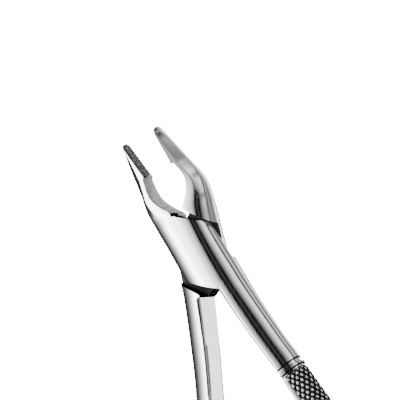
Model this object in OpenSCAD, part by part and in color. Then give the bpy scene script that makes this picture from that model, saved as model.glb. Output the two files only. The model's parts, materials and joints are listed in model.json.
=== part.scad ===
// Extraction forceps: two forged levers that cross in a lap joint and turn on one screw.
// Each lever is laid out with the forceps closed, then turned out by half the opening.
// X runs across the forceps, Y towards the beak tips and Z along the pivot.
// The origin is on the pivot axis, in the plane that the forceps lies on.

/* [Overall] */
// Distance from the pivot to the beak tips
beak_len = 42; // [38:0.2:46]
// Distance from the pivot to the handle ends
handle_len = 124; // [112:1:130]
// Angle between the levers when they lie at rest
rest_angle = 16.4; // [6:0.2:20]

/* [Joint] */
// Half of the width over the lap joint
joint_half_w = 9.4; // [9:0.1:10]
// Thickness over both halves of the lap joint
joint_t = 10; // [9.6:0.1:10.6]
// Gap between the two halves where they lap
lap_gap = 0.06; // [0.04:0.01:0.1]
// Distance from the pivot to the plate's front edge
plate_edge = 10.6; // [10.3:0.05:10.8]
// Distance from the pivot to the plate's front corner
plate_r = 11; // [10.8:0.05:11.1]
// Distance from the pivot to the front shoulder
front_shoulder = 11.5; // [11.4:0.05:11.9]
// Distance from the pivot to the rear shoulder
rear_shoulder = 11.7; // [11.6:0.05:12.2]

/* [Pivot screw] */
// Radius of the screw head
head_r = 3.8; // [3.4:0.1:4.2]
// Thickness of the screw head
head_t = 1.6; // [1.3:0.1:1.9]
// Radius of the journal that the lower lever turns on
journal_r = 2.8; // [2.4:0.1:3]
// Radius of the threaded end in the upper lever
thread_r = 2.3; // [2:0.1:2.5]
// Radial clearance round the journal
journal_clear = 0.04; // [0.02:0.01:0.08]
// Width of the screwdriver slot
slot_w = 0.9; // [0.7:0.1:1.1]
// Depth of the screwdriver slot
slot_d = 0.8; // [0.5:0.1:0.9]

/* [Beaks] */
// Upward slope of the blades
blade_tilt = 23.5; // [20:0.5:28]
// Length of each gripping insert
insert_len = 12.6; // [10:0.2:12.6]
// Width of each gripping insert
insert_w = 4.2; // [3.8:0.1:4.4]
// Thickness of each gripping insert
insert_t = 0.5; // [0.45:0.05:0.55]
// Height that an insert stands above its blade
insert_proud = 0.3; // [0.25:0.05:0.4]

/* [Handles] */
// Half of the height of the grips
grip_half_h = 5.3; // [5:0.1:5.5]
// Rise of the shanks above the joint
arch_rise = 2; // [1:0.1:3]
// Distance from the pivot to the collar ring
collar_y = 50.6; // [48:0.1:54]
// Depth of the grooves on both sides of the collar ring
groove_d = 0.55; // [0.4:0.05:0.8]

/* [Hidden] */
$fn = 64;

lap_z = joint_t / 2;
crest = 0.15;                          // rise of the joint's crest, cut flat underneath
bend_start = 14;                       // where the beaks begin to rise
bend_run = 13;                         // length of the bend along Y
bend_r = bend_run / sin(blade_tilt);
bend_end = bend_start + bend_run;
nose_len = 1.4;                        // length of the rounded blade nose
end_r = 4.4;                           // radius of the handle end, seen from above
body_min_g = 0.6;                      // half-width of the crest along the joint
collar_skew = tan(8.7);                // the collar lies square to the bowed handle
throat_x = 0.5;                        // half-gap where the beaks meet the joint
throat_y = 15.6;
crotch_x = 1.5;                        // the handle's inner corner at its shoulder
crotch_y = -14.6;
pad_y = 30.2;                          // where the gripping face begins
bevel_start = 18;                      // the beak's outer side is bevelled from here
bevel_full = 24;
bevel_drop = 0.6;                      // share of the half-height that the bevel takes off
blade_roll = tan(6);                   // outward slope of the blade's near face
front_normal = [-0.629, 0.777];        // square to the front shoulder
rear_normal = [0.614, -0.789];         // square to the rear shoulder
edge_normal = 50.3;                    // direction square to the plate's front edge
edge_end_x = 0.9;                      // where the plate's front edge turns into the throat
far = 16;                              // a width beyond every silhouette
tall = 30;                             // a height beyond every surface
head_clear = 0.08;                     // radial clearance round the screw head
thread_depth = 3.4;                    // depth of the blind threaded hole above the lap

// Outer half-width of the closed forceps at distances along Y.
outer_pts = [
    [-handle_len, 19.5], [-100, 19.2], [-75, 17.5], [-52, 14.45], [-34, 11.9], [-16, 9.95],
    [-6, joint_half_w], [2, joint_half_w - 0.2], [10, joint_half_w - 0.1], [17, 9.5],
    [22, 9.1], [27, 7.3], [34, 4.7], [beak_len, 1.3]];

// Half-gap between the inner faces of the closed forceps.
inner_pts = [
    [-handle_len, 11.3], [-100, 10.9], [-75, 9.3], [-52, 7], [-34, 4], [-20.5, 2.2], [-14.6, 1.5],
    [-12, 0.7], [throat_y - 1.5, throat_x], [throat_y, throat_x], [18, 1.9], [20.6, 3.2],
    [23.2, 3.9], [25.8, 3.55], [28.2, 2.6], [29.4, 2.1], [pad_y, 1.25], [32, 1.12], [37, 0.9],
    [beak_len, 0.45]];

// Rear edge of the plate that crosses the joint.
rear_edge = [[-9.3, -4], [-6.7, -7.35], [-3.5, -10.3], [-1.2, -12.4], [crotch_x, crotch_y]];

// Width of the blade's flat near face, between its inner edge and its bevel.
face_pts = [[bevel_start, 4], [24, 3], [28.6, 2.3], [31, 2], [35, 1.2], [beak_len, 0.2]];

// Half-height of the section, square to the lever.
height_pts = [
    [-handle_len, grip_half_h - 0.3], [-100, grip_half_h], [-56, grip_half_h - 0.1],
    [-50, 4.7], [-30, 4.7], [-11, lap_z + crest], [12, lap_z + crest], [17, 4.7], [22, 4],
    [28, 3], [34, 2.6], [beak_len, 2.35]];

// Height of the section's middle above the lap plane, behind the joint.
arch_pts = [
    [-handle_len, grip_half_h - 0.35 - lap_z], [-100, 0.9], [-60, arch_rise], [-30, 1], [-12, 0],
    [0, 0]];

// How far the crest lies inside the inner edge.
crest_pts = [[-34, 1.2], [-16, 0.3]];

// How much of the collar's skew applies, at distances along Y from the collar ring.
skew_pts = [[-10, 0], [-4, 1], [4, 1], [10, 0]];

// Roundness of the section, above and below its middle: 2 is an ellipse and more is squarer.
round_above = [[-handle_len, 2.1], [-20, 2.1], [0, 2.3], [18, 2.6], [30, 2.8], [beak_len, 2.8]];
round_below = [
    [-handle_len, 2.1], [-30, 2.1], [-11, 2.6], [10, 2.6], [16, 2.3], [30, 2.6], [beak_len, 2.8]];

// How far the surface is sunk at distances along Y from the collar ring, towards the handle end.
collar = [
    [-2.1, 0], [-1.9, groove_d], [-0.5, groove_d], [-0.35, -0.2], [0.35, -0.2], [0.5, groove_d],
    [1.1, groove_d], [1.25, 0.32], [1.6, 0.12], [2.1, 0]];

function segment(p, y, i = 0) = i >= len(p) - 2 || y < p[i + 1][0] ? i : segment(p, y, i + 1);

function slope(p, i) =
    let (a = max(i - 1, 0), b = min(i + 1, len(p) - 1))
    (p[b][1] - p[a][1]) / (p[b][0] - p[a][0]);

// Smooth curve through the points p, read at y.
function curve(p, y) =
    let (
        i = segment(p, y),
        d = p[i + 1][0] - p[i][0],
        t = min(max((y - p[i][0]) / d, 0), 1))
    p[i][1] * (1 + 2 * t) * (1 - t) * (1 - t) + slope(p, i) * d * t * (1 - t) * (1 - t)
    + p[i + 1][1] * t * t * (3 - 2 * t) - slope(p, i + 1) * d * t * t * (1 - t);

// Tilt of the section and height of its middle at y.
function tilt(y) = y < bend_start ? 0 : y < bend_end ? asin((y - bend_start) / bend_r) : blade_tilt;
function rise(y) =
    y < 0 ? curve(arch_pts, y)
    : y < bend_start ? 0
    : y < bend_end ? bend_r * (1 - cos(tilt(y)))
    : bend_r * (1 - cos(blade_tilt)) + (y - bend_end) * tan(blade_tilt);

// Rounded nose, handle end and collar grooves.
function nose(y) =
    let (t = max(y - beak_len + nose_len, 0) / nose_len) sqrt(max(1 - t * t, 0.02));
function heel(y) =
    let (t = max(end_r - handle_len - y, 0) / end_r) sqrt(max(1 - t * t, 0.04));
function sunk(y) = lookup(-y - collar_y, collar);

stations = concat(
    [for (t = [0, 0.06, 0.15, 0.3, 0.5, 0.75]) -handle_len + end_r * t],
    [for (y = [-handle_len + end_r : 8 : -60]) y],
    [-57],
    [for (k = [len(collar) - 1 : -1 : 0]) -collar_y - collar[k][0]],
    [for (y = [-45 : 5 : -15]) y],
    [for (y = [-11 : 3 : 13]) y],
    [for (y = [15 : 1.6 : 38]) y],
    [for (t = [0, 0.4, 0.7, 0.9, 1]) beak_len - nose_len * (1 - t)]);

steps = 8;                             // facets in a quarter of the section

// Height of the blade's sloping near face and bevel, as a share of the half-height.
function bevel(x, y) =
    let (
        inner = curve(inner_pts, y),
        edge = inner + curve(face_pts, y),
        slant = bevel_drop * max(x - edge, 0) / max(curve(outer_pts, y) - edge, 0.4),
        roll = blade_roll * max(x - inner, 0) / curve(height_pts, y))
    1 - (slant + roll) * min(max((y - bevel_start) / (bevel_full - bevel_start), 0), 1);

// One side of a section: from the crest below, round the outside, to the crest above.
function side(y, s) =
    let (
        inner = curve(inner_pts, y),
        g = max(inner - lookup(y, crest_pts), body_min_g),
        skew = collar_skew * lookup(-y - collar_y, skew_pts),
        cut = sunk(y),
        w = curve(outer_pts, y) - g - cut,
        h = (curve(height_pts, y) - cut) * nose(y) * heel(y))
    [for (k = [-steps : steps])
        let (
            a = 90 * k / steps,
            e = 2 / curve(k < 0 ? round_below : round_above, y),
            x = g + w * pow(cos(a), e),
            v = h * min(sign(a) * pow(abs(sin(a)), e), bevel(x, y)))
        [s * x, y + skew * (x - inner) - v * sin(tilt(y)), lap_z + rise(y) + v * cos(tilt(y))]];

function section(y) =
    let (left = side(y, -1), n = 2 * steps)
    concat(side(y, 1), [for (k = [0 : n]) left[n - k]]);

// The outer form of the closed forceps as one closed solid.
module body() {
    ring = 4 * steps + 2;
    last = len(stations) - 1;
    polyhedron(
        points = [for (y = stations) each section(y)],
        faces = concat(
            [[for (k = [0 : ring - 1]) k]],
            [[for (k = [0 : ring - 1]) last * ring + ring - 1 - k]],
            [for (i = [0 : last - 1], k = [0 : ring - 1])
                let (a = i * ring + k, b = i * ring + (k + 1) % ring)
                each [[a, a + ring, b], [b, a + ring, b + ring]]]),
        convexity = 6);
}

// The point at x on the line at distance d from the pivot, square to the direction n.
function on_line(d, n, x) = [x, (d - n[0] * x) / n[1]];

// Half of the lap joint that crosses from one side to the other.
module plate_outline() {
    corner = edge_normal - acos(plate_edge / plate_r);
    corner_arc = 6;
    polygon(concat(
        [[-throat_x, throat_y], [-far, throat_y], [-far, 2]],
        rear_edge,
        [[far, crotch_y], [far, plate_r * sin(corner - corner_arc)]],
        [for (a = [corner - corner_arc, corner]) plate_r * [cos(a), sin(a)]],
        [on_line(plate_edge, [cos(edge_normal), sin(edge_normal)], edge_end_x)]));
}

// The beak in full thickness, in front of its shoulder.
module beak_outline() {
    polygon(concat(
        [on_line(front_shoulder, front_normal, -throat_x)],
        [for (y = concat([throat_y], [for (k = [17 : 1 : 29]) k], [29.6, pad_y, beak_len + 1]))
            [-curve(inner_pts, y), y]],
        [[-far, beak_len + 1], on_line(front_shoulder, front_normal, -far)]));
}

// The handle in full thickness, behind its shoulder.
module handle_outline() {
    end = -handle_len + end_r;
    middle = (curve(inner_pts, end) + curve(outer_pts, end)) / 2;
    outside = far + 8;                 // beyond the silhouette of the bowed handle
    polygon(concat(
        [on_line(rear_shoulder, rear_normal, crotch_x), [crotch_x, crotch_y]],
        [for (y = [-20 : -6 : end + 2]) [curve(inner_pts, y), y]],
        [for (a = [180 : 15 : 360]) [middle, end] + end_r * [cos(a), sin(a)]],
        [[outside, end + end_r], on_line(rear_shoulder, rear_normal, outside)]));
}

// One lever, closed: the beak on the left, the handle on the right, the plate above the lap.
module lever(upper) {
    z0 = upper ? lap_z + lap_gap / 2 : 0;
    z1 = upper ? tall : lap_z - lap_gap / 2;
    intersection() {
        body();
        union() {
            translate([0, 0, z0]) linear_extrude(z1 - z0) plate_outline();
            linear_extrude(tall) beak_outline();
            linear_extrude(tall) handle_outline();
        }
    }
}

// Puts a flat shape on the left blade: X runs across the blade, Y along it and Z up it.
module on_blade() {
    y0 = pad_y;
    y1 = beak_len;
    x0 = curve(inner_pts, y0);
    x1 = curve(inner_pts, y1);
    y_mid = (y0 + y1) / 2;
    translate([-(x0 + x1) / 2, y_mid, lap_z + rise(y_mid)])
        rotate([0, 0, -atan((x0 - x1) / (y1 - y0))])
            rotate([blade_tilt, 0, 0])
                children();
}

// The gripping insert, and the recess that it is brazed into.
module insert_shape() {
    nose_r = insert_w / 2;
    on_blade()
        translate([insert_proud - insert_t, 0, 0])
            rotate([90, 0, 90])
                linear_extrude(insert_t)
                    union() {
                        translate([-insert_len / 2, -nose_r])
                            square([insert_len - nose_r, insert_w]);
                        translate([insert_len / 2 - nose_r, 0]) circle(nose_r);
                    }
}

module opened(side) rotate([0, 0, side * rest_angle / 2]) children();

module upper_lever() {
    color("silver") opened(1) difference() {
        lever(true);
        insert_shape();
        translate([0, 0, lap_z - 1]) cylinder(r = thread_r, h = thread_depth + 1);
    }
}

module lower_lever() {
    color("gainsboro") opened(-1) difference() {
        mirror([1, 0, 0]) lever(false);
        mirror([1, 0, 0]) insert_shape();
        translate([0, 0, -1]) cylinder(r = journal_r + journal_clear, h = tall);
        translate([0, 0, -1]) cylinder(r = head_r + head_clear, h = head_t + 1.05);
    }
}

module pivot_screw() {
    color("darkgray") opened(1) difference() {
        union() {
            cylinder(r = head_r, h = head_t);
            cylinder(r = journal_r, h = lap_z);
            cylinder(r = thread_r, h = lap_z + thread_depth);
        }
        translate([-tall / 2, -slot_w / 2, -1]) cube([tall, slot_w, slot_d + 1]);
    }
}

module upper_beak_insert() {
    color("dimgray") opened(1) insert_shape();
}

module lower_beak_insert() {
    color("dimgray") opened(-1) mirror([1, 0, 0]) insert_shape();
}

upper_lever();
lower_lever();
pivot_screw();
upper_beak_insert();
lower_beak_insert();
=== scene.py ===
"""Extraction forceps: polished levers with knurled grips, gripping inserts and a pivot screw.

Each lever is laid out in millimetres with the forceps closed: the beak on the left, the handle on
the right, the pivot at the origin. The lower lever is then mirrored, and both are turned out to
the rest pose and scaled to metres.
"""

import json
import math
from collections import namedtuple

import bmesh
import bpy
import numpy as np
from mathutils import Matrix, Vector, noise

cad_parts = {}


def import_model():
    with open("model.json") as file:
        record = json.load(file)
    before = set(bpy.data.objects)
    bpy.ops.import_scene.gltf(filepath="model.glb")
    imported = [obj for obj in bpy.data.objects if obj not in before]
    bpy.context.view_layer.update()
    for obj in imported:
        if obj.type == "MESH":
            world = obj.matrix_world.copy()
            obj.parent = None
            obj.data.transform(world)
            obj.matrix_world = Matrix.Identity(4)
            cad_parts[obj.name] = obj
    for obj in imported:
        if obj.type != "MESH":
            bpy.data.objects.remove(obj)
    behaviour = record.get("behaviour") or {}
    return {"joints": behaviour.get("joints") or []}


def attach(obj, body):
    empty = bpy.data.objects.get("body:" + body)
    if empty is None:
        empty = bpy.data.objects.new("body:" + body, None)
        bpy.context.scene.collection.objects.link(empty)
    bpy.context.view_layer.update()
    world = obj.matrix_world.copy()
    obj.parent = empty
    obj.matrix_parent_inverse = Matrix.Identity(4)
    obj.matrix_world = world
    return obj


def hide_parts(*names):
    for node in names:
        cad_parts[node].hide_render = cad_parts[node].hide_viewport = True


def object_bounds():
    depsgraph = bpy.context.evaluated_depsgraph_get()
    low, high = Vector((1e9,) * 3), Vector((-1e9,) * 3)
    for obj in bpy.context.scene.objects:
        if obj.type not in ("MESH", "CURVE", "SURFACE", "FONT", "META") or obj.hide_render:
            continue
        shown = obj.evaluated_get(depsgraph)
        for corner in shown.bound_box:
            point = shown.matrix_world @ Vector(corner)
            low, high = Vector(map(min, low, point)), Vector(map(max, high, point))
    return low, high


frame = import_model()
cad_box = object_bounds()

MM = 0.001
PIVOT = frame["joints"][0]
LAP_Z = PIVOT["pos_m"][2] / MM
HALF_OPEN = math.radians(PIVOT["range_deg"][1] / 2)
UPPER, LOWER = 1, -1                   # which way each lever is turned out

# ---------------------------------------------------------------- the levers' driving dimensions

BEAK_LEN = 42.0
HANDLE_LEN = 124.0
END_R = 4.4                            # rounding of the handle's end
NOSE_LEN = 1.4                         # length of the beak's rounded tip
HEIGHT_MAX = LAP_Z + 0.15              # crest of the joint above the lap plane
GRIP_H = 5.3                           # half the grip's height
LAP_GAP = 0.06
SEAM_Y = -30.0                         # where the cut front part meets the handle
PAD_Y = 30.2                           # where the gripping face begins

# The joint's plate. A straight edge is given by its distance from the pivot and by the direction
# square to it.
PLATE_EDGE = 10.6
PLATE_NORMAL = math.radians(50.3)
PLATE_R = 11.0                         # the circle that rounds the plate's front edge
PLATE_ARC = 0.06                       # how much of the circle is left, in radians
PLATE_END_X = 0.9                      # where the plate's front edge turns into the throat
FRONT_SHOULDER, FRONT_NORMAL = 11.5, (-0.629, 0.777)
REAR_SHOULDER, REAR_NORMAL = 11.7, (0.614, -0.789)
REAR = [(1.5, -14.6), (-1.2, -12.4), (-3.5, -10.3), (-6.7, -7.35), (-9.39, -3.9)]
PLATE_LEFT = 7                         # ends of the plate's left and right sides, ahead of the
PLATE_RIGHT = (-8, 5.6)                # pivot; the left side starts at the rear edge's end
THROAT = (0.5, 15.6)                   # where the throat starts, beside the middle and ahead

# The blade bends up on an arc.
BLADE_TILT = math.radians(23.5)
BEND_START = 14.0
BEND_RUN = 13.0
BEND_R = BEND_RUN / math.sin(BLADE_TILT)
BEND_END = BEND_START + BEND_RUN

# Sizes at places along the lever: (distance ahead of the pivot, size). The outer and inner sides
# lie beside the middle, HEIGHT is half the height, and ARCH lifts the handle's middle.
OUTER = [(-HANDLE_LEN, 19.5), (-100, 19.2), (-75, 17.5), (-52, 14.45), (-34, 11.9), (-16, 9.95),
         (-6, 9.4), (2, 9.2), (10, 9.3), (17, 9.5), (22, 9.1), (27, 7.3), (34, 4.7),
         (BEAK_LEN, 1.3)]
INNER = [(-HANDLE_LEN, 11.3), (-100, 10.9), (-75, 9.3), (-52, 7), (-34, 4), (-20.5, 2.2),
         (-14.6, 1.5), (-12, 0.7), (THROAT[1] - 1.5, THROAT[0]), (THROAT[1], THROAT[0]),
         (18, 1.9), (20.6, 3.2), (23.2, 3.9), (25.8, 3.55), (28.2, 2.6), (29.4, 2.1),
         (PAD_Y, 1.25), (32, 1.12), (37, 0.9), (BEAK_LEN, 0.45)]
HEIGHT = [(-HANDLE_LEN, GRIP_H - 0.3), (-100, GRIP_H), (-56, GRIP_H - 0.1), (-50, 4.7), (-30, 4.7),
          (-11, HEIGHT_MAX), (12, HEIGHT_MAX), (17, 4.7), (22, 4), (28, 3), (34, 2.6),
          (BEAK_LEN, 2.35)]
ARCH = [(-HANDLE_LEN, GRIP_H - 0.35 - LAP_Z), (-100, 0.9), (-60, 2), (-30, 1), (-12, 0), (0, 0)]
CREST = [(-34, 1.2), (-16, 0.3)]       # how far the crest lies inside the inner edge
CREST_MIN = 0.6

# Exponents of the sections above and below: 2 is an ellipse, and more is squarer.
ROUND_ABOVE = [(-HANDLE_LEN, 2.1), (-20, 2.1), (0, 2.3), (18, 2.6), (30, 2.8), (BEAK_LEN, 2.8)]
ROUND_BELOW = [(-HANDLE_LEN, 2.1), (-30, 2.1), (-11, 2.6), (10, 2.6), (16, 2.3), (30, 2.6),
               (BEAK_LEN, 2.8)]

# The bevel along the beak's outer side, and where it meets the blade's near face.
BEVEL = (18.0, 24.0)                   # it grows between these places and is whole beyond them
BEVEL_DROP = 0.6                       # share of the half-height that it takes off
BEVEL_SOFT = 0.04                      # softness of its edge
BEVEL_MIN = 0.4                        # least width
BEVEL_EDGE = [(18, 5.9), (24, 6.4), (27, 5.3), (PAD_Y, 3.8), (33, 2.9), (37, 1.8),
              (BEAK_LEN, 0.65)]
BLADE_ROLL = math.tan(math.radians(6)) # outward slope of the blade's near face

# The collar between shank and grip: (distance behind the pivot, inset of the surface).
NECK = 0.55
COLLAR = [(48.5, 0), (48.7, NECK), (50.1, NECK), (50.25, -0.2), (50.95, -0.2), (51.1, NECK),
          (51.7, NECK), (51.85, 0.32), (52.2, 0.12), (52.7, 0)]
# Stretches of the collar painted dark, as painted shade where its grooves lie.
COLLAR_SHADE = [(48.45, 48.85), (49.9, 50.35), (50.85, 51.25), (51.75, 52.2)]
COLLAR_Y = 50.6                        # the collar's middle
COLLAR_SKEW = math.tan(math.radians(8.7))      # the collar lies square to the bowed handle
SKEW = [(-10, 0), (-4, 1), (4, 1), (10, 0)]    # share of the skew at distances from the collar

KNURL_START = 52.2
KNURL_END = 118.0
KNURL_LONG = 2.6                       # a knob's pitch along the handle
KNURL_WIDE = 1.75                      # a knob's pitch across it
KNURL_DEPTH = 0.4
KNURL_BORDER = 1.0                     # smooth band left along the inner edges
KNURL_FADE = (0.25, 0.4, 0.6)          # how soon it fades at the border, the collar and the end
KNOB_FLAT = 1.15                       # flattens the tops of the knobs

# The shank's rolled inner edge: its slope, and its width at places along the shank.
LIP_SLOPE = math.tan(math.radians(18))
LIP_W = [(-48, 0), (-45, 0.4), (-28, 0.45), (-19, 0.75), (-14.6, 0.75), (-14.2, 0)]
LIP_CLEAR = 0.08                       # from the lip to the next point

# Chamfers: their slopes at a section's two ends, the widths that they have along the lever, and
# the most that they take of the wall's half-height and of the section's width.
LEFT_CHAMFER = math.tan(math.radians(35))
RIGHT_CHAMFER = math.tan(math.radians(51))
HANDLE_CHAMFER = 0.5
REAR_CHAMFER = 0.12
PLATE_CHAMFER = 0.15
BLADE_CHAMFER = [(THROAT[1], 0.2), (18, 0.3), (26, 0.3), (34, 0.2)]
NOSE_CHAMFER = 0.2
CHAMFER_OF_HEIGHT = 0.45
CHAMFER_OF_WIDTH = 0.4

# The gripping inserts, in the blade's own directions.
PAD_LEN = 12.6
PAD_W = 4.2
PAD_SUNK = 0.2
PAD_PROUD = 0.3
PAD_SEAT = 0.01                        # gap under an insert
PAD_FINE = 0.5                         # stretch at the nose where the sections lie closer
GRAIN = 0.42                           # size of a grain in the coating
GRAIN_H = 0.16
GRAIN_EDGE = 0.15                      # the grains end this far from the insert's edge
GRAIN_FALL = 1.5                       # how steeply a grain falls off from its middle
LUMPS = 0.5                            # height of the larger lumps, against the grains
LUMP_SCALE = 0.45                      # how closely they lie, against the grains

# The pivot screw: radii and heights above the back of the joint.
HEAD_R, HEAD_T = 3.8, 1.6
HEAD_BEVEL = 0.2
DIMPLE_R, DIMPLE_D = 0.9, 0.04         # the centre mark in the head
RING_PITCH, RING_H = 0.1, 0.015        # turning marks on the head
JOURNAL_R = 2.8
THREAD_R, THREAD_END = 2.3, LAP_Z + 3.4
THREAD_DEPTH = 0.3
THREAD_PITCH = 0.7
SLOT_W, SLOT_D = 0.9, 0.8
HEAD_CLEAR, JOURNAL_CLEAR, STEP_CLEAR = 0.08, 0.04, 0.05

# Points along the parts of a section, and over its whole top.
N_FILLET = 6
N_LIP = 3
N_MID = 64
N_WALL = 8
N_TOP = 2 * (N_FILLET - 1) + N_MID

# in a lever, the slot for cut faces is painted near black, as painted shade in the gaps between the
# levers
POLISHED, MACHINED, GROUND = 0, 1, 2   # material slots of a lever
# Which wall of a section is cut, and the slot that its faces take.
UNCUT = (None, POLISHED)
LEFT_CUT = ("left", MACHINED)
RIGHT_CUT = ("right", MACHINED)
THROAT_CUT = ("right", GROUND)

TOUCH = 1e-3                           # points nearer than this are one point
SHARP = math.radians(35)               # a lever's edges beyond this angle are shaded sharp


# ---------------------------------------------------------------- the lever's form

def curve(points, y):
    """Smooth curve through the points, read at y."""
    ys = np.array([p[0] for p in points], float)
    vs = np.array([p[1] for p in points], float)
    slope = np.empty(len(ys))
    slope[1:-1] = (vs[2:] - vs[:-2]) / (ys[2:] - ys[:-2])
    slope[0] = (vs[1] - vs[0]) / (ys[1] - ys[0])
    slope[-1] = (vs[-1] - vs[-2]) / (ys[-1] - ys[-2])
    i = np.clip(np.searchsorted(ys, y, side="right") - 1, 0, len(ys) - 2)
    d = ys[i + 1] - ys[i]
    t = np.clip((y - ys[i]) / d, 0, 1)
    return (vs[i] * (1 + 2 * t) * (1 - t) ** 2 + slope[i] * d * t * (1 - t) ** 2
            + vs[i + 1] * t * t * (3 - 2 * t) - slope[i + 1] * d * t * t * (1 - t))


def table(points, y):
    """Straight lines between the points, read at y."""
    return np.interp(y, *zip(*points))


def tilt(y):
    """Slope of the lever's middle where the beak bends up."""
    bend = np.arcsin(np.clip((y - BEND_START) / BEND_R, 0, math.sin(BLADE_TILT)))
    return np.where(y < BEND_START, 0.0, bend)


def rise(y):
    """Height of the lever's middle over the lap plane."""
    behind = curve(ARCH, np.minimum(y, 0))
    bend = BEND_R * (1 - np.cos(tilt(y)))
    ahead = np.maximum(y - BEND_END, 0) * math.tan(BLADE_TILT)
    return np.where(y < 0, behind, bend + ahead)


def inset(y):
    """How far the surface is let in at the collar."""
    return table(COLLAR, -y)


def crest(y):
    """Half-width of the level crest that the dome starts from."""
    return np.maximum(curve(INNER, y) - table(CREST, y), CREST_MIN)


def bevelled(share, x, y):
    """The dome's share of the half-height, with the beak's bevel cut from it."""
    edge = curve(BEVEL_EDGE, y)
    width = np.maximum(curve(OUTER, y) - edge, BEVEL_MIN)
    bevel = 1 - BEVEL_DROP * np.maximum(np.abs(x) - edge, 0) / width
    bevel -= BLADE_ROLL * np.maximum(np.abs(x) - curve(INNER, y), 0) / curve(HEIGHT, y)
    lower = (share + bevel - np.hypot(share - bevel, BEVEL_SOFT)) / 2
    grown = np.clip((y - BEVEL[0]) / (BEVEL[1] - BEVEL[0]), 0, 1)
    return share + grown * (np.maximum(lower, 0) - share)


def dome(x, y, above):
    """Height of the closed forceps' surface over its middle, at x and y."""
    g = crest(y)
    u = np.clip((np.abs(x) - g) / (curve(OUTER, y) - inset(y) - g), 0, 1)
    n = curve(ROUND_ABOVE if above else ROUND_BELOW, y)
    share = (1 - u ** n) ** (1 / n)
    if above:
        share = bevelled(share, x, y)
    return (curve(HEIGHT, y) - inset(y)) * share


def on_line(distance, normal, x):
    """The point at x on the line at a distance from the pivot, square to the normal."""
    return x, (distance - normal[0] * x) / normal[1]


def along(points, count):
    """Evenly spaced points along a polyline."""
    p = np.array(points, float)
    d = np.r_[0, np.cumsum(np.hypot(*np.diff(p, axis=0).T))]
    s = np.linspace(0, d[-1], count)
    return np.c_[np.interp(s, d, p[:, 0]), np.interp(s, d, p[:, 1])]


def silhouette(side, y0, y1, count):
    """Points along the lever's left (-1) or right (1) outline."""
    y = np.linspace(y0, y1, count)
    return np.c_[side * (curve(OUTER, y) - inset(y)), y]


def plate_front():
    """The plate's front edge, from the right side to the throat."""
    corner = PLATE_NORMAL - math.acos(PLATE_EDGE / PLATE_R)
    arc = [(PLATE_R * math.cos(a), PLATE_R * math.sin(a)) for a in (corner - PLATE_ARC, corner)]
    square = (math.cos(PLATE_NORMAL), math.sin(PLATE_NORMAL))
    return arc + [on_line(PLATE_EDGE, square, PLATE_END_X), (-THROAT[0], THROAT[1])]


# One section of a lever: its two ends, their chamfers, which part of a cosine wave spaces its
# points (0 to 1 crowds them at both ends, 0.5 to 1 at the right, 0 to 0.5 at the left), how far
# it is shrunk in height, and its cut wall.
Station = namedtuple("Station", "left right left_chamfer right_chamfer first last shrink cut")


def stations():
    """The sections of a lever, from the handle's end to the beak's tip."""
    rows = []

    def add(left, right, chamfers, spacing, shrink=1, cut=UNCUT):
        n = len(left)
        values = [np.broadcast_to(np.asarray(v, float), n) for v in (*chamfers, *spacing, shrink)]
        for i in range(n):
            rows.append(Station(left[i], right[i], *(v[i] for v in values), cut))

    # Rounded handle end.
    end = -HANDLE_LEN + END_R
    turn = np.radians(np.linspace(86, 0, 26, endpoint=False))
    round_off = np.cos(turn)
    y = end - END_R * np.sin(turn)
    middle = (curve(INNER, end) + curve(OUTER, end)) / 2
    half = (curve(OUTER, end) - curve(INNER, end)) / 2 * round_off
    add(np.c_[middle - half, y], np.c_[middle + half, y], (HANDLE_CHAMFER * round_off, 0),
        (0.5, 1), round_off)
    # Grip, collar and shank: (start, end, step).
    for y0, y1, step in ((end, -53, 0.2), (-53, -48, 0.05), (-48, SEAM_Y, 0.5),
                         (SEAM_Y, REAR[0][1], 0.5)):
        y = np.linspace(y0, y1, max(2, round((y1 - y0) / step)), endpoint=False)
        w = curve(OUTER, y) - inset(y)
        add(np.c_[curve(INNER, y), y], np.c_[w, y], (HANDLE_CHAMFER, 0), (0.5, 1))
    # The crossing plate's rear edge.
    n = 46
    t = np.linspace(0, 1, n, endpoint=False)
    left = along(REAR, n + 1)[:-1]
    right = silhouette(1, REAR[0][1], PLATE_RIGHT[0], n + 1)[:-1]
    chamfer = np.interp(t, [0, 0.1], [HANDLE_CHAMFER, REAR_CHAMFER])
    add(left, right, (chamfer, 0), (np.interp(t, [0, 1], [0.5, 0]), 1), cut=LEFT_CUT)
    # The middle of the plate.
    n = 36
    left = silhouette(-1, REAR[-1][1], PLATE_LEFT, n + 1)[:-1]
    right = silhouette(1, *PLATE_RIGHT, n + 1)[:-1]
    add(left, right, (0, 0), (0, 1))
    # The plate's front edge.
    n = 52
    t = np.linspace(0, 1, n, endpoint=False)
    left = silhouette(-1, PLATE_LEFT, THROAT[1], n + 1)[:-1]
    right = along(plate_front(), n + 1)[:-1]
    add(left, right, (0, PLATE_CHAMFER), (0, np.interp(t, [0, 1], [1, 0.5])), cut=RIGHT_CUT)
    # Throat and blade.
    y = np.linspace(THROAT[1], BEAK_LEN - NOSE_LEN, 90, endpoint=False)
    add(np.c_[-curve(OUTER, y), y], np.c_[-curve(INNER, y), y], (0, table(BLADE_CHAMFER, y)),
        (0, 0.5), cut=THROAT_CUT)
    # The beak's tip.
    turn = np.radians(np.linspace(0, 84, 14))
    y = BEAK_LEN - NOSE_LEN + NOSE_LEN * np.sin(turn)
    add(np.c_[-curve(OUTER, y), y], np.c_[-curve(INNER, y), y], (0, NOSE_CHAMFER),
        (0, 0.5), np.cos(turn))
    return rows


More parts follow.
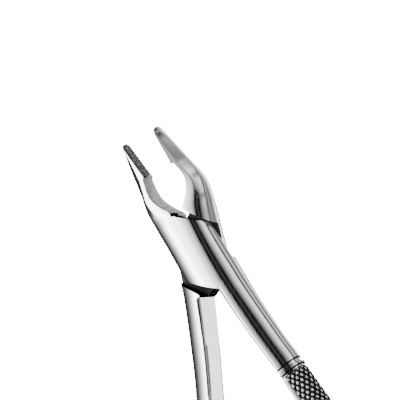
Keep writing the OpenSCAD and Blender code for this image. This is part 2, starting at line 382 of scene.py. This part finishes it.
def ring(station):
    """The closed loop of one section: over the top from left to right, and back underneath."""
    left, right, shrink = station.left, station.right, station.shrink
    t = np.linspace(0, 1, N_FILLET)[:-1]
    s = np.linspace(0, 1, N_MID)
    wave = math.pi * (station.first + s * (station.last - station.first))
    spacing = np.cos(math.pi * station.first) - np.cos(wave)
    spacing /= spacing[-1]
    mid_y = (left[1] + right[1]) / 2
    lean = float(tilt(mid_y))
    length = math.hypot(*(right - left))
    lip = float(table(LIP_W, mid_y)) if station.left_chamfer > 0 else 0
    loops = []
    for sign in (1, -1):
        above = sign > 0
        edge = [float(dome(p[0], p[1], above)) * shrink for p in (left, right)]
        rl, rr = (min(chamfer, CHAMFER_OF_HEIGHT * wall, CHAMFER_OF_WIDTH * length)
                  for chamfer, wall in zip((station.left_chamfer, station.right_chamfer), edge))
        d = np.r_[rl * t, rl + (length - rl - rr) * spacing, length - rr * t[::-1]]
        drop = np.r_[LEFT_CHAMFER * rl * (1 - t), np.zeros(N_MID),
                     RIGHT_CHAMFER * rr * (1 - t[::-1])]
        if lip > 0:
            beyond = N_FILLET + N_LIP
            d[N_FILLET:beyond] = rl + lip * np.arange(1, N_LIP + 1) / N_LIP
            d[beyond] = max(d[beyond], rl + lip + LIP_CLEAR)
            drop += LIP_SLOPE * np.clip(rl + lip - d, 0, lip)
        # A section that leans keeps its inner side on the lever's outline, seen from above.
        x_right = right[0]
        if lean > 0:
            x_right = -curve(INNER, right[1] - sign * edge[1] * math.sin(lean))
        share = d / length
        x = left[0] + (x_right - left[0]) * share
        y = left[1] + (right[1] - left[1]) * share
        v = sign * np.maximum(dome(x, y, above) * shrink - drop, 0)
        loops.append(np.c_[x, y, v])
    top, bottom = loops[0], loops[1][::-1]
    t = np.linspace(0, 1, N_WALL + 2)[1:-1, None]
    right_wall = top[-1] + (bottom[0] - top[-1]) * t
    left_wall = bottom[-1] + (top[0] - bottom[-1]) * t
    return np.vstack([top, right_wall, bottom, left_wall]), lean


def place(loop, lean):
    """From section coordinates to space: the section leans back on the blade."""
    x, y, v = loop.T
    y = y + COLLAR_SKEW * table(SKEW, -y - COLLAR_Y) * (x - curve(INNER, y))
    z = LAP_Z + rise(y) + v * math.cos(lean)
    on_table = np.where(y < BEND_START, np.maximum(z, 0), z)
    return np.c_[x, y - v * math.sin(lean), on_table]


def knurl(loop, y):
    """Sinks the grip's surface between its knobs, and gives each point's share of the depth, which
    also sets how much painted shade its colour takes.
    """
    p = loop[:, [0, 2]]
    nxt, prv = np.roll(p, -1, 0), np.roll(p, 1, 0)
    step = np.hypot(*(nxt - p).T)
    arc = np.cumsum(step) - step
    arc = arc - arc[N_TOP - 1]
    reach = abs(arc[N_FILLET - 1])
    tangent = nxt - prv
    size = np.maximum(np.hypot(*tangent.T), 1e-9)
    normal = np.c_[-tangent[:, 1], tangent[:, 0]] / size[:, None]
    u, v = y / KNURL_LONG, arc / KNURL_WIDE
    wave = np.abs(np.cos(math.pi * (u + v))) * np.abs(np.cos(math.pi * (u - v)))
    knob = np.clip(wave * KNOB_FLAT, 0, 1)
    at_border, at_collar, at_end = KNURL_FADE
    fade = np.clip((reach - KNURL_BORDER - np.abs(arc)) / at_border, 0, 1)
    fade *= (np.clip((-y - KNURL_START) / at_collar, 0, 1)
             * np.clip((KNURL_END + y) / at_end, 0, 1))
    # this share sinks the surface between the knobs and also sets the painted shade there
    valley_shade = (1 - knob * knob * (3 - 2 * knob)) * fade
    moved = loop.copy()
    moved[:, [0, 2]] -= normal * (KNURL_DEPTH * valley_shade)[:, None]
    return moved, valley_shade


# ---------------------------------------------------------------- meshes

def skin(rings, fades, cuts):
    """A closed mesh through the rings, in millimetres, with each point's share of painted shade in
    a point attribute.
    """
    n = len(rings[0])
    bm = bmesh.new()
    valley_shade = bm.verts.layers.float.new("valley_shade")
    rows = []
    for points, fade in zip(rings, fades):
        row = [bm.verts.new(p) for p in points]
        for vert, f in zip(row, fade):
            vert[valley_shade] = f
        rows.append(row)
    for behind, ahead, (side, slot) in zip(rows, rows[1:], cuts):
        for k in range(n):
            m = (k + 1) % n
            face = bm.faces.new((behind[k], behind[m], ahead[m], ahead[k]))
            on_right = N_TOP - 1 <= k < N_TOP + N_WALL
            on_left = k >= 2 * N_TOP + N_WALL - 1
            if side == "right" and on_right or side == "left" and on_left:
                face.material_index = slot
    bm.faces.new(rows[0][::-1])
    bm.faces.new(rows[-1])
    bmesh.ops.remove_doubles(bm, verts=bm.verts, dist=1e-4)
    bmesh.ops.dissolve_degenerate(bm, edges=bm.edges, dist=1e-5)
    bmesh.ops.recalc_face_normals(bm, faces=bm.faces)
    return bm


def to_object(bm, name, slot=None):
    """The mesh as an object, with all its faces in one material slot where a slot is given."""
    if slot is not None:
        for face in bm.faces:
            face.material_index = slot
    mesh = bpy.data.meshes.new(name)
    bm.to_mesh(mesh)
    bm.free()
    obj = bpy.data.objects.new(name, mesh)
    bpy.context.scene.collection.objects.link(obj)
    return obj


def prism(outline, z0, z1, name):
    """An upright prism. Its faces on the +Y side take the GROUND slot, and the others the MACHINED
    slot.
    """
    bm = bmesh.new()
    low = [bm.verts.new((x, y, z0)) for x, y in outline]
    high = [bm.verts.new((x, y, z1)) for x, y in outline]
    n = len(outline)
    bm.faces.new(low[::-1])
    bm.faces.new(high)
    for k in range(n):
        m = (k + 1) % n
        bm.faces.new((low[k], low[m], high[m], high[k]))
    bmesh.ops.recalc_face_normals(bm, faces=bm.faces)
    for face in bm.faces:
        face.material_index = GROUND if face.calc_center_median().y > 0 else MACHINED
    return to_object(bm, name)


def turned(profile, name, segments=96):
    """A solid of revolution about Z from (radius, height) points, closed on the axis."""
    bm = bmesh.new()
    angles = np.linspace(0, 2 * math.pi, segments, endpoint=False)
    rows = []
    for r, z in profile:
        if r == 0:
            rows.append([bm.verts.new((0, 0, z))])
        else:
            rows.append([bm.verts.new((r * math.cos(a), r * math.sin(a), z)) for a in angles])
    for low, high in zip(rows, rows[1:]):
        for k in range(segments):
            m = (k + 1) % segments
            if len(low) == 1:
                bm.faces.new((low[0], high[m], high[k]))
            elif len(high) == 1:
                bm.faces.new((low[k], low[m], high[0]))
            else:
                bm.faces.new((low[k], low[m], high[m], high[k]))
    bmesh.ops.recalc_face_normals(bm, faces=bm.faces)
    return to_object(bm, name, MACHINED)


def carve(obj, cutter):
    """Cuts one solid out of another, keeps the cutter's material slots and discards the cutter."""
    for mesh in (obj.data, cutter.data):
        while len(mesh.materials) <= GROUND:
            mesh.materials.append(None)        # an empty slot, which finish_piece fills
    cut = obj.modifiers.new("cut", "BOOLEAN")
    cut.operation = "DIFFERENCE"
    cut.solver = "EXACT"
    cut.object = cutter
    bpy.context.view_layer.update()
    evaluated = obj.evaluated_get(bpy.context.evaluated_depsgraph_get())
    mesh = bpy.data.meshes.new_from_object(evaluated)
    obj.modifiers.clear()
    obj.data = mesh
    bpy.data.objects.remove(cutter)


def join(front, back, name):
    """Joins the two meshes where their seam rings meet, without the end faces between them."""
    def on_seam(vert):
        return abs(vert.co.y - SEAM_Y) < TOUCH

    bm = bmesh.new()
    for part in (front, back):
        bm.from_mesh(part.data)
    ends = [face for face in bm.faces if all(on_seam(vert) for vert in face.verts)]
    bmesh.ops.delete(bm, geom=ends, context="FACES")
    edge = [vert for vert in bm.verts if on_seam(vert)]
    bmesh.ops.remove_doubles(bm, verts=edge, dist=TOUCH)
    bmesh.ops.recalc_face_normals(bm, faces=bm.faces)
    for part in (front, back):
        bpy.data.objects.remove(part)
    return to_object(bm, name)


def settle(obj, side, smooth=True):
    """From the closed frame in millimetres to the rest pose in metres. The lower lever and its
    insert are mirrored."""
    flip = Matrix.Diagonal((side, 1, 1, 1))
    turn = Matrix.Rotation(side * HALF_OPEN, 4, "Z")
    obj.data.transform(Matrix.Scale(MM, 4) @ turn @ flip)
    if side == LOWER:
        obj.data.flip_normals()
    for poly in obj.data.polygons:
        poly.use_smooth = smooth
    return obj


# ---------------------------------------------------------------- pieces

def lap_outline():
    """What is cut away on the other lever's side of the lap, between the two shoulders."""
    far = 20.0
    ahead = 18.0
    crotch_x, crotch_y = REAR[0]
    beside, behind = crotch_x - 0.1, crotch_y - 0.3
    return [on_line(FRONT_SHOULDER, FRONT_NORMAL, -far),
            on_line(FRONT_SHOULDER, FRONT_NORMAL, -THROAT[0]),
            (-THROAT[0], ahead), (far, ahead),
            on_line(REAR_SHOULDER, REAR_NORMAL, far),
            on_line(REAR_SHOULDER, REAR_NORMAL, crotch_x),
            (beside, behind), (-far, behind)]


def on_blade():
    """From (along, across, out of the blade) on the left blade's inner face to the closed frame."""
    x0, x1 = float(curve(INNER, PAD_Y)), float(curve(INNER, BEAK_LEN))
    middle = (PAD_Y + BEAK_LEN) / 2
    shift = Matrix.Translation((-(x0 + x1) / 2, middle, LAP_Z + float(rise(middle))))
    turn = Matrix.Rotation(-math.atan((x0 - x1) / (BEAK_LEN - PAD_Y)), 4, "Z")
    slope = Matrix.Rotation(BLADE_TILT, 4, "X")
    axes = Matrix(((0, 0, 1, 0), (1, 0, 0, 0), (0, 1, 0, 0), (0, 0, 0, 1)))
    return shift @ turn @ slope @ axes


def pad_half_width(s):
    """Half the insert's width at s along it: square behind, with a round nose in front."""
    r = PAD_W / 2
    return r * math.sqrt(max(1 - (max(s - (PAD_LEN / 2 - r), 0) / r) ** 2, 0))


def pad_outline():
    r = PAD_W / 2
    nose = [(PAD_LEN / 2 - r + r * math.cos(a), r * math.sin(a))
            for a in np.linspace(-math.pi / 2, math.pi / 2, 25)]
    return [(-PAD_LEN / 2, r), (-PAD_LEN / 2, -r)] + nose


def pad(name, seed):
    """A gripping insert: a thin plate whose face is covered with fused grains."""
    straight = np.linspace(-PAD_LEN / 2, PAD_LEN / 2 - PAD_FINE, 150)
    nose = PAD_LEN / 2 - PAD_FINE * (1 - np.sin(np.radians(np.linspace(12, 89, 12))))
    bm = bmesh.new()
    rows = []
    for s in np.r_[straight, nose]:
        half = pad_half_width(s)
        face, base = [], []
        for t in np.linspace(-1, 1, 50):
            point = Vector((s / GRAIN, t * half / GRAIN, seed))
            distance = noise.voronoi(point)[0][0]
            bumps = (1 - GRAIN_FALL * distance) + LUMPS * noise.noise(point * LUMP_SCALE)
            from_edge = min(half * (1 - abs(t)), s + PAD_LEN / 2, GRAIN_EDGE)
            level = PAD_PROUD - GRAIN_H * (1 - bumps * (from_edge / GRAIN_EDGE)) / 2
            face.append(bm.verts.new((s, t * half, level)))
            base.append(bm.verts.new((s, t * half, PAD_SEAT - PAD_SUNK)))
        rows.append(face + base[::-1])
    for a, b in zip(rows, rows[1:]):
        for k in range(len(a)):
            m = (k + 1) % len(a)
            bm.faces.new((a[k], a[m], b[m], b[k]))
    bm.faces.new(rows[0][::-1])
    bm.faces.new(rows[-1])
    bmesh.ops.recalc_face_normals(bm, faces=bm.faces)
    obj = to_object(bm, name, 0)
    obj.data.transform(on_blade())
    return obj


def screw(name):
    """The pivot screw: a turned head with a slot, a journal and a threaded end."""
    root = THREAD_R - THREAD_DEPTH
    flat = HEAD_R - HEAD_BEVEL
    head = [(0, DIMPLE_D), (DIMPLE_R, DIMPLE_D)]
    head += [(r, RING_H * (k % 2))
             for k, r in enumerate(np.arange(DIMPLE_R + 0.1, flat, RING_PITCH))]
    head += [(flat, 0), (HEAD_R, HEAD_BEVEL), (HEAD_R, HEAD_T), (JOURNAL_R, HEAD_T)]
    shank = [(JOURNAL_R, LAP_Z), (root, LAP_Z)]
    thread = [point
              for z in np.arange(LAP_Z + 0.4, THREAD_END - 0.5, THREAD_PITCH)
              for point in ((root, z - 0.25), (THREAD_R, z), (THREAD_R, z + 0.1))]
    tip = [(THREAD_R - 0.4, THREAD_END), (0, THREAD_END)]
    obj = turned(head + shank + thread + tip, name)
    reach = HEAD_R + 1
    slot = [(-reach, -SLOT_W / 2), (reach, -SLOT_W / 2), (reach, SLOT_W / 2), (-reach, SLOT_W / 2)]
    carve(obj, prism(slot, -1, SLOT_D, "slot"))
    obj.data.set_sharp_from_angle(angle=math.radians(30))
    return obj


def lever(name, side):
    """One lever in the closed frame, beak on the left."""
    rings, fades, cuts, ys = [], [], [], []
    for station in stations():
        loop, lean = ring(station)
        y = station.left[1]
        fade = np.zeros(len(loop))
        if -KNURL_END < y < -KNURL_START:
            loop, fade = knurl(loop, y)
        elif any(a < -y < b for a, b in COLLAR_SHADE):
            # painted shade over the collar's grooves: the whole section takes the dark colour
            fade[:] = 1
        rings.append(place(loop, lean))
        fades.append(fade)
        cuts.append(station.cut)
        ys.append(max(y, station.right[1]))
    seam = next(i for i, y in enumerate(ys) if y >= SEAM_Y)
    back = to_object(skin(rings[:seam + 1], fades, cuts), name + "_back")
    front = to_object(skin(rings[seam:], fades[seam:], cuts[seam:]), name)
    below, over = -5, 40               # well past the lever's underside and its top
    if side == UPPER:
        carve(front, prism(lap_outline(), below, LAP_Z + LAP_GAP / 2, "lap"))
    else:
        carve(front, prism(lap_outline(), LAP_Z - LAP_GAP / 2, over, "lap"))
        r_head, r_bore = HEAD_R + HEAD_CLEAR, JOURNAL_R + JOURNAL_CLEAR
        z0, z1, z2 = -1, HEAD_T + STEP_CLEAR, 12
        bore = [(0, z0), (r_head, z0), (r_head, z1), (r_bore, z1), (r_bore, z2), (0, z2)]
        carve(front, turned(bore, "bore"))
    recess = prism(pad_outline(), -PAD_SUNK, 2, "recess")
    recess.data.transform(on_blade())
    carve(front, recess)
    front.data.set_sharp_from_angle(angle=SHARP)
    return join(front, back, name)


def finish_piece(obj, body, slot, node, *materials):
    """Gives a piece its materials and its place in the frame."""
    slots = [face.material_index for face in obj.data.polygons]
    obj.data.materials.clear()         # this also forgets which slot each face has
    for material in materials:
        obj.data.materials.append(material)
    obj.data.polygons.foreach_set("material_index", slots)
    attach(obj, body)
    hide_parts(node)
    return obj


# ---------------------------------------------------------------- materials

POLISH = (0.83, 0.83, 0.84)
# near-black colour for painted shade in the knurl's valleys and the collar's grooves
GROOVE_SHADE = (0.016, 0.016, 0.016)
SCREW_DARK = (0.35, 0.35, 0.36)
SCREW_LIGHT = tuple(1.9 * c for c in SCREW_DARK)
# How closely each pattern lies along X, Y and Z, in 1/m.
WEAR = (900, 60, 900)
GRINDING = (2600, 35, 2600)
CUTTER_LINES = (4000, 4000, 250)
GROUND_LINES = (1500, 1500, 300)
SPECKS = (2600, 2600, 2600)


def new_material(name):
    material = bpy.data.materials.new(name)
    material.use_nodes = True
    tree = material.node_tree
    shader = tree.nodes["Principled BSDF"]
    return material, tree, shader


def pattern(tree, scale, turn=0.0, detail=2.0):
    """Noise on the object's own coordinates, stretched by a scale per axis in 1/m."""
    coords = tree.nodes.new("ShaderNodeTexCoord")
    mapping = tree.nodes.new("ShaderNodeMapping")
    mapping.inputs["Rotation"].default_value = (0, 0, turn)
    mapping.inputs["Scale"].default_value = scale
    texture = tree.nodes.new("ShaderNodeTexNoise")
    texture.inputs["Scale"].default_value = 1
    texture.inputs["Detail"].default_value = detail
    tree.links.new(coords.outputs["Object"], mapping.inputs["Vector"])
    tree.links.new(mapping.outputs["Vector"], texture.inputs["Vector"])
    return texture.outputs["Fac"]


def spread(tree, value, low, high, to_low, to_high):
    """Stretches the range low to high over the range to_low to to_high."""
    node = tree.nodes.new("ShaderNodeMapRange")
    for name, number in (("From Min", low), ("From Max", high), ("To Min", to_low),
                         ("To Max", to_high)):
        node.inputs[name].default_value = number
    tree.links.new(value, node.inputs["Value"])
    return node.outputs["Result"]


def colour_socket(sockets, name):
    return next(socket for socket in sockets if socket.name == name and socket.type == "RGBA")


def blend(tree, share, a, b):
    """Between two colours by a share."""
    node = tree.nodes.new("ShaderNodeMix")
    node.data_type = "RGBA"
    tree.links.new(share, node.inputs["Factor"])
    colour_socket(node.inputs, "A").default_value = (*a, 1)
    colour_socket(node.inputs, "B").default_value = (*b, 1)
    return colour_socket(node.outputs, "Result")


def bump(tree, shader, height, strength, distance):
    node = tree.nodes.new("ShaderNodeBump")
    node.inputs["Strength"].default_value = strength
    node.inputs["Distance"].default_value = distance
    tree.links.new(height, node.inputs["Height"])
    tree.links.new(node.outputs["Normal"], shader.inputs["Normal"])


def polished_steel(name, turn):
    """Mirror-polished, with faint grinding lines along the lever, and painted shade darkening the
    knurl's valleys and the collar's grooves.
    """
    material, tree, shader = new_material(name)
    shader.inputs["Metallic"].default_value = 1
    valley_shade = tree.nodes.new("ShaderNodeAttribute")
    valley_shade.attribute_name = "valley_shade"
    # painted shade: the colour goes near black as the share rises
    depth = spread(tree, valley_shade.outputs["Fac"], 0, 0.3, 0, 1)
    tree.links.new(blend(tree, depth, POLISH, GROOVE_SHADE), shader.inputs["Base Color"])
    wear = pattern(tree, WEAR, turn)
    tree.links.new(spread(tree, wear, 0.3, 0.7, 0.03, 0.08), shader.inputs["Roughness"])
    bump(tree, shader, pattern(tree, GRINDING, turn, 3), 0.6, 0.00002)
    return material


def turned_steel(name):
    """Turned and milled faces, with close cutter lines."""
    material, tree, shader = new_material(name)
    shader.inputs["Metallic"].default_value = 1
    lines = pattern(tree, CUTTER_LINES, 0.5)
    colour = blend(tree, spread(tree, lines, 0.35, 0.65, 0, 1), SCREW_DARK, SCREW_LIGHT)
    tree.links.new(colour, shader.inputs["Base Color"])
    tree.links.new(spread(tree, lines, 0.3, 0.7, 0.2, 0.38), shader.inputs["Roughness"])
    bump(tree, shader, lines, 0.4, 0.00003)
    return material


def matt(name, greys, scale, share, rough):
    """A matt surface, speckled between two greys over a share of the pattern's range."""
    material, tree, shader = new_material(name)
    shader.inputs["Specular IOR Level"].default_value = 0
    specks = pattern(tree, scale)
    dark, light = greys
    colour = blend(tree, spread(tree, specks, *share, 0, 1), (dark,) * 3, (light,) * 3)
    tree.links.new(colour, shader.inputs["Base Color"])
    tree.links.new(spread(tree, specks, 0.3, 0.7, *rough), shader.inputs["Roughness"])
    bump(tree, shader, specks, 0.5, 0.00006)
    return material


# ---------------------------------------------------------------- build

polished_upper = polished_steel("polished_steel", HALF_OPEN)
polished_lower = polished_steel("polished_steel_lower", -HALF_OPEN)
# painted shade: the levers' cut faces are coloured near black, as the shade in the gaps between
# them
machined_shade = matt("machined_painted_shade", (0.0001, 0.004), CUTTER_LINES, (0.45, 0.75), (0.7, 0.5))
ground = matt("ground_steel", (0.045, 0.085), GROUND_LINES, (0.3, 0.7), (0.7, 0.5))
coating = matt("carbide", (0.0003, 0.05), SPECKS, (0.4, 0.7), (0.6, 0.35))
screw_steel = [turned_steel("turned_steel")] * (GROUND + 1)    # the same in all its slots

upper = settle(lever("upper_lever_steel", UPPER), UPPER)
lower = settle(lever("lower_lever_steel", LOWER), LOWER)
pin = settle(screw("pivot_screw_steel"), UPPER)
upper_pad = settle(pad("upper_insert_grains", 3.0), UPPER, smooth=False)
lower_pad = settle(pad("lower_insert_grains", 7.0), LOWER, smooth=False)
finish_piece(upper, "upper", "polished_steel", "upper_lever", polished_upper, machined_shade, ground)
finish_piece(lower, "lower", "polished_steel", "lower_lever", polished_lower, machined_shade, ground)
finish_piece(pin, "upper", "screw_steel", "pivot_screw", *screw_steel)
finish_piece(upper_pad, "upper", "grip_insert", "upper_beak_insert", coating)
finish_piece(lower_pad, "lower", "grip_insert", "lower_beak_insert", coating)


# ---------------------------------------------------------------- stage

FLOOR_SIZE = 3.0
FLOOR_DROP = 0.0002                    # the floor lies this far under the forceps
FLOOR_GREY = 0.9
FLOOR_ROUGH = 0.9
FLOOR_GLOW = 18                        # keeps the floor white where the tent is dark

VIEW_RIGHT = (0.771, -0.358, -0.527)   # the picture's two directions, in the frame
VIEW_UP = (0.421, 0.907, 0.0)
VIEW_AIM = (-0.00016, 0.0169)          # the picture's middle from the pivot, right and up
VIEW_DISTANCE = 0.9
VIEW_WIDTH = 0.129                     # what the picture's width shows at the pivot
SENSOR = 36
CLIP_END = 20

# How dark the tent is round the levers: (degrees from straight up towards the right, stops).
TENT = [(-180, 4.8), (-165, 5.5), (-150, 7.5), (-118, 8), (-106, 8), (-98, 7.6), (-90, 6.8),
        (-82, 5.8), (-74, 4.9), (-64, 3.7), (-58, 2.6), (-54, 1.9), (-48, 0.9), (-42, 0.2),
        (-36, 0.3), (-28, 1.3), (-22, 2.5), (-17, 2.8), (-12, 3.6), (-8, 4.6), (-4.5, 6.2),
        (-2.5, 11), (0.5, 12), (2.5, 8), (10, 7.8), (12.5, 11), (15, 11), (17, 7.8), (20, 6.6),
        (25, 5.4), (31, 4.5), (40, 3.3), (56, 2.5), (63, 3.2), (67, 6), (69.5, 5), (72, 8),
        (75, 8.5), (78, 6), (83, 4.2), (90, 3.2), (100, 4.2), (110, 5.5), (122, 5.1),
        (138, 4.6), (146, 2.4), (155, 1.7), (160, 4), (168, 4.6), (180, 4.8)]
# The same where the tent is seen in the upward sloping blades.
TENT_FRONT = [(-180, 6), (-120, 6.2), (-78, 6.1), (-68, 4.5), (-60, 0.8), (-50, 0.1), (-38, 0.1),
              (-35, 3.4), (-30, 4.2), (-5, 4.5), (8, 5.4), (60, 5.6), (110, 5.5), (135, 5),
              (146, 2.4), (155, 1.7), (165, 4), (180, 6)]
TENT_FRONT_Y = (0.12, -0.3)            # where the front strips take over, along Y
TENT_STOPS = 14.0                      # the darkest that the tent can be
TENT_STRENGTH = 12.0
TENT_TURN = math.radians(5)            # turns the tent's strips in line with the levers


def floor():
    bm = bmesh.new()
    bmesh.ops.create_grid(bm, x_segments=1, y_segments=1, size=FLOOR_SIZE)
    obj = to_object(bm, "floor")
    material, _, shader = new_material("pale_floor")
    shader.inputs["Base Color"].default_value = (FLOOR_GREY, FLOOR_GREY, FLOOR_GREY, 1)
    shader.inputs["Roughness"].default_value = FLOOR_ROUGH
    shader.inputs["Emission Color"].default_value = (1, 1, 1, 1)
    shader.inputs["Emission Strength"].default_value = FLOOR_GLOW
    obj.data.materials.append(material)
    obj.location.z = cad_box[0][2] - FLOOR_DROP
    obj.visible_glossy = False


def camera():
    right = Vector(VIEW_RIGHT).normalized()
    up = Vector(VIEW_UP).normalized()
    back = right.cross(up).normalized()
    data = bpy.data.cameras.new("camera")
    data.sensor_width = SENSOR
    data.lens = SENSOR * VIEW_DISTANCE / VIEW_WIDTH
    data.clip_end = CLIP_END
    obj = bpy.data.objects.new("camera", data)
    bpy.context.scene.collection.objects.link(obj)
    target = Vector((0, 0, LAP_Z * MM)) + VIEW_AIM[0] * right + VIEW_AIM[1] * up
    turn = Matrix((right, up, back)).transposed().to_4x4()
    obj.matrix_world = Matrix.Translation(target + VIEW_DISTANCE * back) @ turn
    bpy.context.scene.camera = obj


def tent_strips(nodes, links, share, strips):
    """The stops round the tent, from a table of strips."""
    ramp = nodes.new("ShaderNodeFloatCurve")
    links.new(share, ramp.inputs["Value"])
    points = ramp.mapping.curves[0].points
    for degrees, stops in strips[1:-1]:
        points.new((degrees + 180) / 360, stops / TENT_STOPS)
    points[0].location = (0, strips[0][1] / TENT_STOPS)
    points[len(points) - 1].location = (1, strips[-1][1] / TENT_STOPS)
    for point in points:
        point.handle_type = "VECTOR"
    ramp.mapping.update()
    return ramp.outputs["Value"]


def world():
    """A light tent with dark strips, which run along the levers."""
    studio = bpy.data.worlds.new("studio")
    bpy.context.scene.world = studio
    studio.use_nodes = True
    tree = studio.node_tree
    nodes, links = tree.nodes, tree.links
    coords = nodes.new("ShaderNodeTexCoord")
    turn = nodes.new("ShaderNodeMapping")
    turn.inputs["Rotation"].default_value = (0, 0, -TENT_TURN)
    axes = nodes.new("ShaderNodeSeparateXYZ")
    angle = nodes.new("ShaderNodeMath")
    angle.operation = "ARCTAN2"
    links.new(coords.outputs["Generated"], turn.inputs["Vector"])
    links.new(turn.outputs["Vector"], axes.inputs["Vector"])
    links.new(axes.outputs["X"], angle.inputs[0])
    links.new(axes.outputs["Z"], angle.inputs[1])
    share = spread(tree, angle.outputs[0], -math.pi, math.pi, 0, 1)
    mixed = nodes.new("ShaderNodeMix")
    links.new(spread(tree, axes.outputs["Y"], *TENT_FRONT_Y, 0, 1), mixed.inputs["Factor"])
    links.new(tent_strips(nodes, links, share, TENT), mixed.inputs["A"])
    links.new(tent_strips(nodes, links, share, TENT_FRONT), mixed.inputs["B"])
    halved = nodes.new("ShaderNodeMath")
    halved.operation = "POWER"
    halved.inputs[0].default_value = 0.5 ** TENT_STOPS
    links.new(mixed.outputs["Result"], halved.inputs[1])
    background = nodes["Background"]
    links.new(halved.outputs[0], background.inputs["Color"])
    background.inputs["Strength"].default_value = TENT_STRENGTH


floor()
camera()
world()
